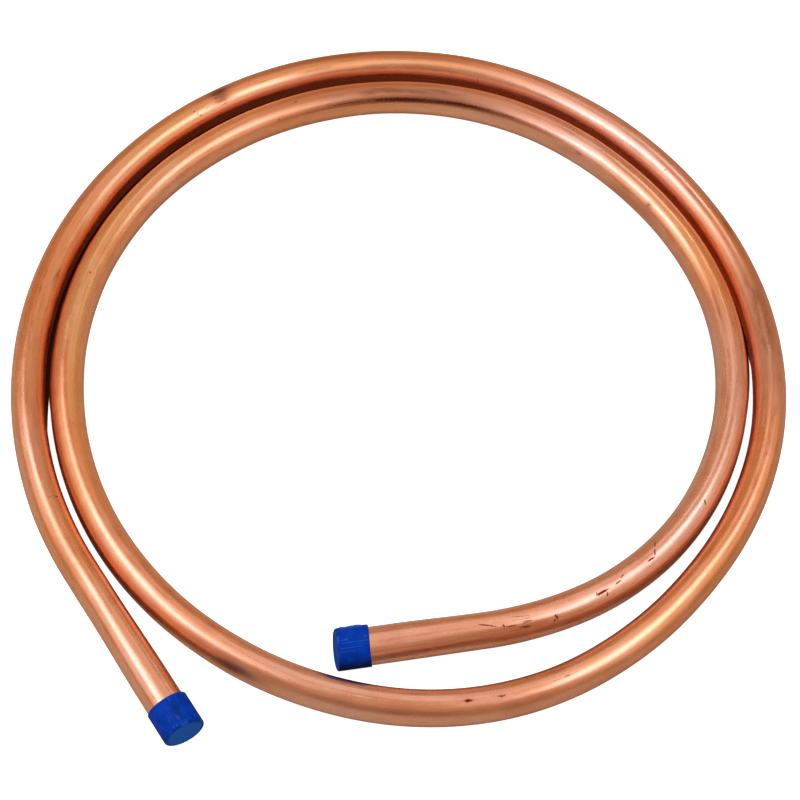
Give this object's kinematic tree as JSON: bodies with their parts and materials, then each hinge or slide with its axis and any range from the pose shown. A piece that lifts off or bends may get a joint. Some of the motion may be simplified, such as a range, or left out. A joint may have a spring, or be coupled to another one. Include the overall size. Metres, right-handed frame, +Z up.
{
  "type": "copper tube coil",
  "caption": "Loose flat coil of bare soft copper tube, wound in a spiral and lying on the floor, with a blue plastic push-on cap closing each straight end.",
  "frame": {"origin": "middle of the coil's plan, on the floor it lies on", "axes": "+Z up, out of the flat coil; -Y towards the side where both tube ends are; +X to the right of someone looking along +Y"},
  "size_m": [0.4874, 0.5493, 0.0246],
  "materials": {
    "copper": "bare drawn copper, semi-bright, lightly tarnished and scratched",
    "blue_plastic": "moulded soft polyethylene, satin"
  },
  "bodies": {
    "root": {"copper_tube": "copper", "outer_end_cap": "blue_plastic", "inner_end_cap": "blue_plastic"}
  },
  "joints": []
}
